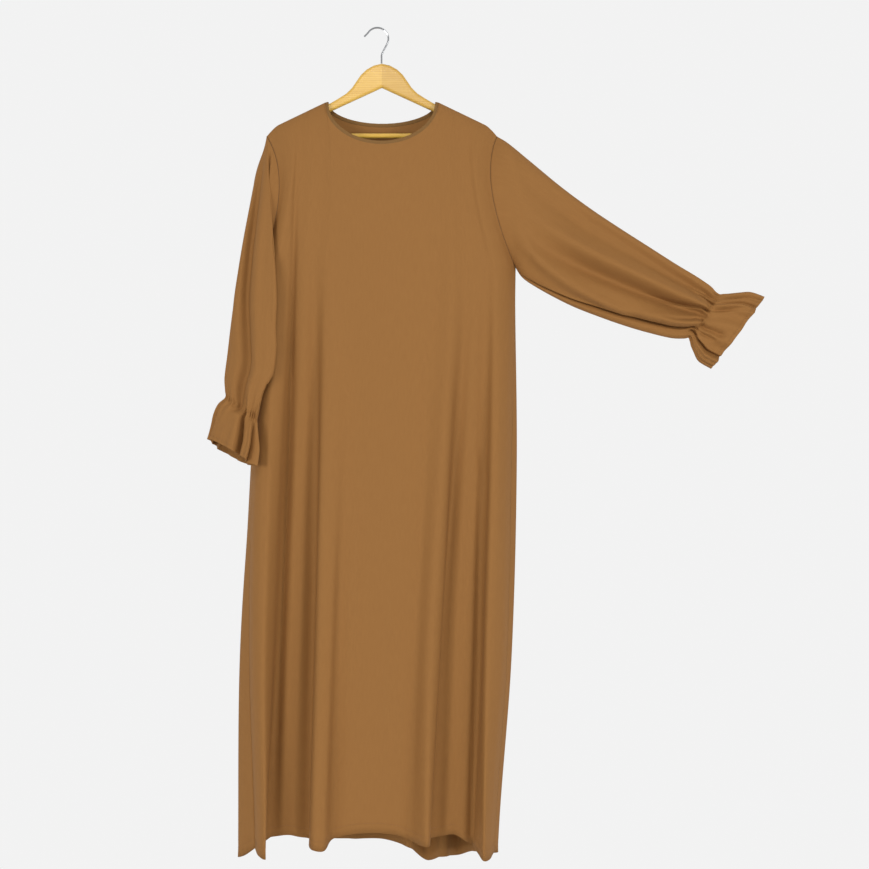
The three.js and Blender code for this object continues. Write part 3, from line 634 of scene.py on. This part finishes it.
def wrist_gathers(angle, from_wrist, turns):
    """The waves of the shirring and gathers, from_wrist being the distance from the elastic."""
    band = np.exp(-(from_wrist / SHIRRING_REACH) ** 2)[:, None]
    fan = np.exp(-(from_wrist / GATHER_REACH) ** 2)[:, None]
    wander = SHIRRING_WANDER * np.sin(SHIRRING_WANDERS * angle + turns[2])
    shirring = np.sin(SHIRRING_WAVES * angle + wander)
    wander = GATHER_WANDER * np.sin(GATHER_WANDERS * angle + turns[3])
    gathers = np.sin(GATHER_WAVES * angle + wander)
    return band * (SHIRRING_HEIGHT * shirring - SHIRRING_SINK) + GATHER_HEIGHT * fan * gathers


# Where a sleeve's own waves begin past the armhole, its slow waves, and over how much of its
# end it tilts, counted in sections
ARMHOLE_CALM = (0.1, 1.0)
SLOW_WAVE_HEIGHT = 0.5
SLOW_WAVE_RATE = 1.1
SLOW_WAVES_ROUND = 3
TILTED_END = 3


def dressed_sleeve(side, sections, creases, facing, wrist, seed, plain, tilt):
    """A sleeve's points and outward directions. The wrist is its elastic's place in sections,
    and the plain part an angle and width where the flounce hangs smooth. The tilt lifts the
    cuff's edge at that side and lowers it at the other, in millimetres."""
    rings = [armhole_ring(side)] + [section_ring(section) for section in sections]
    count = len(rings) - 1
    rows = ROWS_PER_SECTION * count
    grid = np.array([through(rings, row / rows) for row in range(rows + 1)])
    normals = grid_normals(grid, facing, True)
    spot = np.linspace(0, count, rows + 1) - 1
    angle = ring_angles()[None, :]
    ruffle = np.array([0.0] + [section[-1] for section in sections])
    ruffle = np.interp(spot + 1, np.arange(count + 1), ruffle)[:, None]
    turns = np.random.default_rng(seed).uniform(0, 2 * math.pi, 4)
    calm = smoothstep(spot + 1, *ARMHOLE_CALM)[:, None]
    slow = np.sin(SLOW_WAVE_RATE * spot[:, None] + SLOW_WAVES_ROUND * angle + turns[1])
    move = calm * (ruffle * flounce_waves(angle, turns, plain)
                   - sleeve_creases(spot, angle, creases)
                   + wrist_gathers(angle, spot - wrist, turns)
                   + SLOW_WAVE_HEIGHT * slow)
    dressed = grid + normals * move[:, :, None]
    past_wrist = smoothstep(spot, spot[-1] - TILTED_END, spot[-1])[:, None]
    dressed[:, :, 2] += tilt * past_wrist * np.cos(angle - plain[0])
    return dressed, normals


hanging_grid, hanging_normals = dressed_sleeve(
    "left", HANGING_SECTIONS, HANGING_CREASES, facing=1, wrist=9.8, seed=5, plain=(-0.45, 0.75),
    tilt=13)
held_grid, held_normals = dressed_sleeve(
    "right", HELD_SECTIONS, HELD_CREASES, facing=-1, wrist=8.9, seed=8, plain=(1.7, 0.45),
    tilt=0)


# The bound neck: a soft rounded strip that carries the panels on from their edge. Its foot
# reaches a little below that edge, and its weave is counted in metres.
BINDING_FOOT = -0.5
BINDING_BULGE = 0.95
BINDING_ROUNDNESS = 0.6
BINDING_SINK = 0.6
PROFILE_STEPS = 14
NECK_MARGIN = 0.01
WEAVE_STEP = 0.003
WEAVE_RISE = 0.001


def neck_feet(grid, way):
    """A panel's points along the neck and the outward direction at each."""
    line = grid[0]
    on_neck = np.nonzero(np.abs(line[:, 0] - CENTRE_X) < NECK_HALF_WIDTH - NECK_MARGIN)[0]
    points = line[on_neck[0] - 1:on_neck[-1] + 2]
    return points, [edge_normal(way, point[0], point[2]) for point in points]


def unit(vectors):
    """The directions of a list of vectors."""
    return vectors / np.linalg.norm(vectors, axis=1, keepdims=True)


def binding_grid():
    """The strip's profile carried round the neck, with the line that it stands on."""
    front, front_faces = neck_feet(panel_rows(FRONT_FOLDS, 1, FRONT_NECK_FOLDS), 1)
    back, back_faces = neck_feet(panel_rows(BACK_FOLDS, -1, BACK_NECK_FOLDS), -1)
    feet = [(front[0] + back[-1]) / 2, *front[1:-1], (front[-1] + back[0]) / 2, *back[1:-1]]
    faces = [front_faces[0] + back_faces[-1], *front_faces[1:-1],
             front_faces[-1] + back_faces[0], *back_faces[1:-1]]
    feet = np.array(feet)
    faces = unit(np.array(faces))
    rises = unit(np.cross(faces, np.roll(feet, -1, axis=0) - np.roll(feet, 1, axis=0)))
    up_outside = [(1, step) for step in range(PROFILE_STEPS + 1)]
    down_inside = [(-1, step) for step in range(PROFILE_STEPS - 1, 0, -1)]
    loop = []
    for face, step in up_outside + down_inside:
        angle = math.pi * (step / PROFILE_STEPS - 0.5)
        out = 0.0
        if 0 < step < PROFILE_STEPS:
            out = face * BINDING_BULGE * math.cos(angle) ** BINDING_ROUNDNESS
        high = BINDING_FOOT + BINDING_WIDTH * (0.5 + 0.5 * math.sin(angle))
        loop.append(feet + faces * (out - BINDING_SINK) + rises * high)
    return np.array(loop), feet, faces, rises


binding, neck_line, neck_faces, neck_rises = binding_grid()


def binding_object(loop):
    """The strip as one closed skin through the profile's lines."""
    rings, count = loop.shape[:2]
    faces, coords = [], []
    for ring in range(rings):
        for step in range(count):
            nxt, up = (step + 1) % count, (ring + 1) % rings
            faces.append([ring * count + step, ring * count + nxt, up * count + nxt,
                          up * count + step])
            corners = [(step, ring), (step + 1, ring), (step + 1, ring + 1), (step, ring + 1)]
            coords += [(along * WEAVE_STEP, high * WEAVE_RISE) for along, high in corners]
    piece = mesh_object("neck_binding_cloth", loop.reshape(-1, 3), faces)
    lay_weave(piece, coords)
    return piece


# Stitches: short threads laid along a line on the cloth. Each has two sunk end points and
# rings of four corners between them, given by their place along it and their thickness.
STITCH = 3.0
STITCH_GAP = 1.2
FIRST_STITCH = 0.5
THREAD = 0.28
THREAD_CORNERS = 4
THREAD_RINGS = [(0.2, 0.8), (0.5, 1), (0.8, 0.8)]
THREAD_LIFT = 0.25
NECK_THREAD_LIFT = 0.2
END_LIFT = 0.3


def stitch_threads(line, normals, lift, store):
    """Adds a row of short threads along a line of points to the stored points and faces."""
    steps = np.linalg.norm(np.diff(line, axis=0), axis=1)
    spots = np.concatenate([[0], np.cumsum(steps)])
    start = FIRST_STITCH
    while start + STITCH < spots[-1]:
        ends = []
        for spot in (start, start + STITCH / 2, start + STITCH):
            point = np.array([np.interp(spot, spots, line[:, axis]) for axis in range(3)])
            normal = np.array([np.interp(spot, spots, normals[:, axis]) for axis in range(3)])
            ends.append((point, normal / np.linalg.norm(normal)))
        (a, normal_a), (_, middle), (b, normal_b) = ends
        side = np.cross((b - a) / np.linalg.norm(b - a), middle)
        base = len(store["points"])
        store["points"] += [a + normal_a * lift * END_LIFT, b + normal_b * lift * END_LIFT]
        for share, thickness in THREAD_RINGS:
            centre = a * (1 - share) + b * share + middle * lift
            size = THREAD * thickness
            store["points"] += [centre + side * size, centre + middle * size,
                                centre - side * size, centre - middle * size]
        rings = [base + 2 + THREAD_CORNERS * ring for ring in range(len(THREAD_RINGS))]
        for corner in range(THREAD_CORNERS):
            nxt = (corner + 1) % THREAD_CORNERS
            store["faces"].append([base, rings[0] + nxt, rings[0] + corner])
            for one, two in zip(rings, rings[1:]):
                store["faces"].append([one + corner, one + nxt, two + nxt, two + corner])
            store["faces"].append([base + 1, rings[-1] + corner, rings[-1] + nxt])
        start += STITCH + STITCH_GAP


threads = {"points": [], "faces": []}

# How many of a panel's last rows are searched for its hem stitching, the row above the cuff's
# edge that is stitched, and the neck stitching's place on the strip
HEM_ROWS = 12
CUFF_ROW = 3
NECK_STITCH_OUT = 0.35
NECK_STITCH_RISE = 1.7


def hem_line(grid, normals, height):
    """The line that lies a set height above the lower edge, column by column."""
    line, facing = [], []
    for index in range(grid.shape[1]):
        up = grid[:, index, 2] - grid[-1, index, 2]
        row = int(np.argmin(np.abs(up[-HEM_ROWS:] - height))) + len(up) - HEM_ROWS
        other = row - 1 if up[row] < height else row + 1
        other = min(max(other, 0), len(up) - 1)
        span = up[other] - up[row]
        share = 0 if abs(span) < 1e-6 else (height - up[row]) / span
        line.append(grid[row, index] * (1 - share) + grid[other, index] * share)
        facing.append(normals[row, index])
    return np.array(line), np.array(facing)


for grid, normals in ((front_grid, front_normals), (back_grid, back_normals)):
    stitch_threads(*hem_line(grid, normals, HEM_TURN), THREAD_LIFT, threads)
for grid, normals in ((hanging_grid, hanging_normals), (held_grid, held_normals)):
    stitch_threads(grid[-1 - CUFF_ROW], normals[-1 - CUFF_ROW], THREAD_LIFT, threads)
low_neck = neck_line + neck_faces * NECK_STITCH_OUT + neck_rises * NECK_STITCH_RISE
closed_neck = np.vstack([low_neck, low_neck[:1]])
stitch_threads(closed_neck, np.vstack([neck_faces, neck_faces[:1]]), NECK_THREAD_LIFT, threads)

SEAM_RADIUS = 0.35
SEAM_SIDES = 6


def seam_cord(name, line):
    """A fine rolled seam that follows a closed line of points."""
    along = unit(np.roll(line, -1, axis=0) - np.roll(line, 1, axis=0))
    flat = np.cross(along, np.array([1.0, 0.0, 0.0]))
    flat /= np.maximum(np.linalg.norm(flat, axis=1, keepdims=True), 1e-6)
    other = np.cross(along, flat)
    points, faces = [], []
    for step in range(len(line)):
        nxt = (step + 1) % len(line)
        for side in range(SEAM_SIDES):
            turn = 2 * math.pi * side / SEAM_SIDES
            points.append(line[step] + SEAM_RADIUS * (flat[step] * math.cos(turn)
                                                      + other[step] * math.sin(turn)))
            up = (side + 1) % SEAM_SIDES
            faces.append([step * SEAM_SIDES + side, step * SEAM_SIDES + up, nxt * SEAM_SIDES + up,
                          nxt * SEAM_SIDES + side])
    return mesh_object(name, points, faces)


# Materials
def to_linear(red, green, blue):
    """A colour given as a screen shows it, 0 to 255, in the renderer's own values."""
    shares = [value / 255 for value in (red, green, blue)]
    return tuple(share / 12.92 if share <= 0.04045 else ((share + 0.055) / 1.055) ** 2.4
                 for share in shares) + (1,)


def new_material(name):
    material = bpy.data.materials.new(name)
    material.use_nodes = True
    tree = material.node_tree
    return material, tree, tree.nodes["Principled BSDF"]


def link(tree, start, output, end, socket):
    tree.links.new(start.outputs[output], end.inputs[socket])


def math_node(tree, kind, first, second):
    node = tree.nodes.new("ShaderNodeMath")
    node.operation = kind
    for index, value in enumerate((first, second)):
        if isinstance(value, (int, float)):
            node.inputs[index].default_value = value
        else:
            tree.links.new(value, node.inputs[index])
    return node.outputs[0]


def weighted(tree, first, second, share):
    """Two values mixed, the second one with the given share."""
    return math_node(tree, "ADD", math_node(tree, "MULTIPLY", first, 1 - share),
                     math_node(tree, "MULTIPLY", second, share))


def object_place(tree):
    return tree.nodes.new("ShaderNodeTexCoord").outputs["Object"]


def stretched(tree, place, scale):
    stretch = tree.nodes.new("ShaderNodeMapping")
    stretch.inputs["Scale"].default_value = scale
    tree.links.new(place, stretch.inputs["Vector"])
    return stretch.outputs["Vector"]


def noise_node(tree, place, scale, detail, distortion=0):
    noise = tree.nodes.new("ShaderNodeTexNoise")
    noise.inputs["Scale"].default_value = scale
    noise.inputs["Detail"].default_value = detail
    noise.inputs["Distortion"].default_value = distortion
    tree.links.new(place, noise.inputs["Vector"])
    return noise.outputs["Fac"]


def wave_node(tree, place, direction, scale, distortion=0, detail=2):
    wave = tree.nodes.new("ShaderNodeTexWave")
    wave.bands_direction = direction
    wave.inputs["Scale"].default_value = scale
    wave.inputs["Distortion"].default_value = distortion
    wave.inputs["Detail"].default_value = detail
    tree.links.new(place, wave.inputs["Vector"])
    return wave.outputs["Fac"]


def ramp_node(tree, value, dark, light):
    ramp = tree.nodes.new("ShaderNodeValToRGB")
    ramp.color_ramp.elements[0].color = dark
    ramp.color_ramp.elements[1].color = light
    tree.links.new(value, ramp.inputs["Fac"])
    return ramp


def add_bump(tree, shader, height, strength, distance):
    bump = tree.nodes.new("ShaderNodeBump")
    bump.inputs["Strength"].default_value = strength
    bump.inputs["Distance"].default_value = distance
    tree.links.new(height, bump.inputs["Height"])
    link(tree, bump, "Normal", shader, "Normal")


# Scales of the crepe's threads, pebbles and slubs on the map of the weave, and its bump's depth
THREAD_SCALE = 620
THREAD_WANDER = 1.2
CREPE_SCALE = 1500
SLUB_SCALE = 42
SLUB_STRETCH = (6, 1, 1)
CREPE_BUMP = 0.0002


def cloth_material(name, colour, dark):
    """A fine crepe: two crossing threads, a pebbled grain and slight slubs in the colour."""
    material, tree, shader = new_material(name)
    coords = tree.nodes.new("ShaderNodeUVMap")
    coords.uv_map = "Weave"
    weave = coords.outputs["UV"]
    warp = wave_node(tree, weave, "X", THREAD_SCALE, THREAD_WANDER)
    weft = wave_node(tree, weave, "Y", THREAD_SCALE, THREAD_WANDER)
    crossed = math_node(tree, "MULTIPLY", warp, weft)
    crepe = noise_node(tree, weave, CREPE_SCALE, detail=3)
    height = math_node(tree, "ADD", crossed, crepe)
    add_bump(tree, shader, height, strength=0.35, distance=CREPE_BUMP)
    slub = noise_node(tree, stretched(tree, weave, SLUB_STRETCH), SLUB_SCALE, detail=5)
    mix = tree.nodes.new("ShaderNodeMix")
    mix.data_type = "RGBA"
    mix.inputs["A"].default_value = dark
    mix.inputs["B"].default_value = colour
    tree.links.new(weighted(tree, slub, crossed, 0.5), mix.inputs["Factor"])
    tree.links.new(mix.outputs["Result"], shader.inputs["Base Color"])
    shader.inputs["Roughness"].default_value = 0.8
    shader.inputs["Specular IOR Level"].default_value = 0.22
    shader.inputs["Sheen Weight"].default_value = 0.05
    shader.inputs["Sheen Roughness"].default_value = 0.45
    shader.inputs["Sheen Tint"].default_value = to_linear(214, 178, 130)
    return material


THREAD_TWIST = 900


def thread_material(name, dark, light):
    """Thread with the turns of its plies in two tones."""
    material, tree, shader = new_material(name)
    twist = wave_node(tree, object_place(tree), "DIAGONAL", THREAD_TWIST)
    link(tree, ramp_node(tree, twist, dark, light), "Color", shader, "Base Color")
    shader.inputs["Roughness"].default_value = 0.6
    return material


# The wood's grain: how it is stretched along the hanger, where its colours lie in the ramp, and
# how much the half past the joint is darkened, partly that board's own tone and partly painted
# light: the other half keeps a paler colour that stands in for glare on it
GRAIN_STRETCH = (5, 60, 70)
GRAIN_SCALE = 2.2
PORE_SCALE = 1.1
PORE_SHARE = 0.25
DARK_GRAIN = 0.25
MIDDLE_GRAIN = 0.5
LIGHT_GRAIN = 0.8
GRAIN_BUMP = 0.0003
OTHER_HALF_TONE_AND_GLARE = (0.86, 0.83, 0.74, 1)


def wood_material(name, light, middle, dark, joint):
    """Lacquered wood with its grain along the hanger, one half a little darker past the joint:
    partly that board's own tone and partly painted light, the other half kept paler as in glare.
    """
    material, tree, shader = new_material(name)
    place = object_place(tree)
    along = stretched(tree, place, GRAIN_STRETCH)
    grain = noise_node(tree, along, GRAIN_SCALE, detail=8, distortion=0.8)
    pores = wave_node(tree, along, "Z", PORE_SCALE, distortion=5, detail=3)
    both = weighted(tree, grain, pores, PORE_SHARE)
    ramp = ramp_node(tree, both, dark, light)
    ramp.color_ramp.elements[0].position = DARK_GRAIN
    ramp.color_ramp.elements[1].position = LIGHT_GRAIN
    between = ramp.color_ramp.elements.new(MIDDLE_GRAIN)
    between.color = middle
    colour = ramp.outputs["Color"]
    # Partly tone, partly painted light: the half past the joint darkened, the other kept pale as in
    # glare
    if joint:
        split = tree.nodes.new("ShaderNodeSeparateXYZ")
        tree.links.new(place, split.inputs["Vector"])
        right = math_node(tree, "GREATER_THAN", split.outputs["X"], CENTRE_X * MM)
        shade = tree.nodes.new("ShaderNodeMix")
        shade.data_type = "RGBA"
        shade.blend_type = "MULTIPLY"
        shade.inputs["B"].default_value = OTHER_HALF_TONE_AND_GLARE
        tree.links.new(right, shade.inputs["Factor"])
        tree.links.new(colour, shade.inputs["A"])
        colour = shade.outputs["Result"]
    tree.links.new(colour, shader.inputs["Base Color"])
    add_bump(tree, shader, both, strength=0.08, distance=GRAIN_BUMP)
    shader.inputs["Roughness"].default_value = 0.42
    shader.inputs["Coat Weight"].default_value = 0.3
    shader.inputs["Coat Roughness"].default_value = 0.16
    return material


# The wire's fine marks, its darkest and lightest metal, and how much its roughness varies
MARK_SCALE = 260
DARK_METAL = (0.5, 0.51, 0.53, 1)
LIGHT_METAL = (0.78, 0.79, 0.8, 1)
WIRE_ROUGHNESS = 0.1
MARK_ROUGHNESS = 0.12


def wire_material():
    """Plated wire, a little duller in its fine marks."""
    material, tree, shader = new_material("plated wire")
    marks = noise_node(tree, object_place(tree), MARK_SCALE, detail=4)
    link(tree, ramp_node(tree, marks, DARK_METAL, LIGHT_METAL), "Color", shader, "Base Color")
    rough = math_node(tree, "ADD", math_node(tree, "MULTIPLY", marks, MARK_ROUGHNESS),
                      WIRE_ROUGHNESS)
    tree.links.new(rough, shader.inputs["Roughness"])
    shader.inputs["Metallic"].default_value = 1
    return material


cloth = cloth_material("brown crepe", to_linear(154, 108, 57), to_linear(138, 95, 49))
# Darker, more olive crepe for the neck strip: partly its own tone, partly painted shade
strip = cloth_material("neck strip crepe", to_linear(134, 99, 55), to_linear(119, 86, 47))
wood = wood_material("lacquered wood", to_linear(226, 186, 92), to_linear(216, 172, 76),
                     to_linear(200, 152, 60), True)
rod = wood_material("lacquered rod", to_linear(228, 184, 78), to_linear(218, 174, 68),
                    to_linear(202, 154, 56), False)
wire = wire_material()
thread = thread_material("sewing thread", to_linear(118, 82, 44), to_linear(142, 100, 54))
seam_shade = thread_material("seam shade", to_linear(74, 50, 26), to_linear(98, 68, 36))


# The pieces in place of the solids
sheets = {
    "front": sheet_object("front_cloth", front_grid, False, True),
    "back": sheet_object("back_cloth", back_grid, False, True),
    "right_sleeve": sheet_object("right_sleeve_cloth", hanging_grid, True, True),
    "left_sleeve": sheet_object("left_sleeve_cloth", held_grid, True, False),
    "neck_binding": binding_object(binding),
}
for node, piece in sheets.items():
    piece.data.materials.append(strip if node == "neck_binding" else cloth)
    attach(piece, "root")
    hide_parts(node)

sewing = [mesh_object("stitching", threads["points"], threads["faces"]),
          seam_cord("right_armhole_seam", armhole_ring("left")),
          seam_cord("left_armhole_seam", armhole_ring("right"))]
for piece, material in zip(sewing, (thread, seam_shade, seam_shade)):
    piece.data.materials.append(material)
    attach(piece, "root")

# The hanger's solids stay as they are, with edges sharper than this angle kept crisp
SHARP_ANGLE = math.radians(40)

for node, material, name in (("hanger_wood", wood, "wood"), ("hanger_bar", rod, "wood"),
                             ("hanger_hook", wire, "hook_metal")):
    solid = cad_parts[node]
    solid.data.materials.clear()
    solid.data.materials.append(material)
    solid.data.polygons.foreach_set("use_smooth", [True] * len(solid.data.polygons))
    solid.data.set_sharp_from_angle(angle=SHARP_ANGLE)

# Stage: a pale floor under the garment, plain surroundings and three soft lights
FLOOR_Z = -1900
FLOOR_HALF = 1350
floor_corners = [(-1, -1), (1, -1), (1, 1), (-1, 1)]
floor = mesh_object("floor", [(FLOOR_HALF * x, FLOOR_HALF * y, FLOOR_Z) for x, y in floor_corners],
                    [(0, 1, 2, 3)])
floor_material, _, floor_shader = new_material("pale floor")
floor_shader.inputs["Base Color"].default_value = (0.85, 0.85, 0.85, 1)
floor_shader.inputs["Roughness"].default_value = 0.9
floor.data.materials.append(floor_material)

scene = bpy.context.scene
scene.view_settings.view_transform = "Standard"

# The surroundings: greyer in front of the garment, where they light it, and pale behind it
FRONT_GREY = (0.34, 0.34, 0.34, 1)
BACK_PALE = (0.89, 0.89, 0.89, 1)
GREY_ENDS = -0.55
PALE_BEGINS = 0.45


def pale_room():
    """Surroundings worked out from the direction alone, with no picture in them."""
    world = bpy.data.worlds.new("pale room")
    world.use_nodes = True
    tree = world.node_tree
    around = tree.nodes.new("ShaderNodeTexCoord")
    toward = tree.nodes.new("ShaderNodeSeparateXYZ")
    link(tree, around, "Generated", toward, "Vector")
    wall_share = tree.nodes.new("ShaderNodeMapRange")
    wall_share.interpolation_type = "SMOOTHSTEP"
    wall_share.inputs["From Min"].default_value = GREY_ENDS
    wall_share.inputs["From Max"].default_value = PALE_BEGINS
    link(tree, toward, "Y", wall_share, "Value")
    shades = tree.nodes.new("ShaderNodeMix")
    shades.data_type = "RGBA"
    shades.inputs["A"].default_value = FRONT_GREY
    shades.inputs["B"].default_value = BACK_PALE
    link(tree, wall_share, "Result", shades, "Factor")
    sky = tree.nodes["Background"]
    link(tree, shades, "Result", sky, "Color")
    sky.inputs["Strength"].default_value = 1.0
    return world


scene.world = pale_room()

# The lights, in metres and watts: name, place, what it faces, width and height, power
LIGHTS = [
    ("left", (-2.3, -3.0, -0.7), (0, 0, -0.8), (1.5, 1.2), 48),
    ("right", (2.8, -2.7, -0.7), (0.2, 0, -0.8), (1.5, 1.2), 53),
    ("high", (0.1, -2.9, 0.8), (0.1, 0, -0.8), (1.2, 0.6), 34),
]


def area_light(name, place, target, size, power):
    """A soft rectangular light turned to face its target."""
    data = bpy.data.lights.new(name, "AREA")
    data.shape = "RECTANGLE"
    data.size, data.size_y = size
    data.energy = power
    lamp = bpy.data.objects.new(name, data)
    lamp.location = place
    way = np.array(target) - np.array(place)
    flat = math.hypot(way[0], way[1])
    lamp.rotation_euler = (math.atan2(flat, -way[2]), 0, math.atan2(-way[0], way[1]))
    scene.collection.objects.link(lamp)


for row in LIGHTS:
    area_light(*row)

# The camera straight in front, in metres: its place, and half the width it sees at the garment
CAMERA_PLACE = (0.1075, -4.0, -0.763)
HALF_VIEW = 0.817

camera_data = bpy.data.cameras.new("camera")
camera_data.lens_unit = "FOV"
camera_data.angle = 2 * math.atan(HALF_VIEW / -CAMERA_PLACE[1])
camera = bpy.data.objects.new("camera", camera_data)
camera.location = CAMERA_PLACE
camera.rotation_euler = (math.pi / 2, 0, 0)
scene.collection.objects.link(camera)
scene.camera = camera
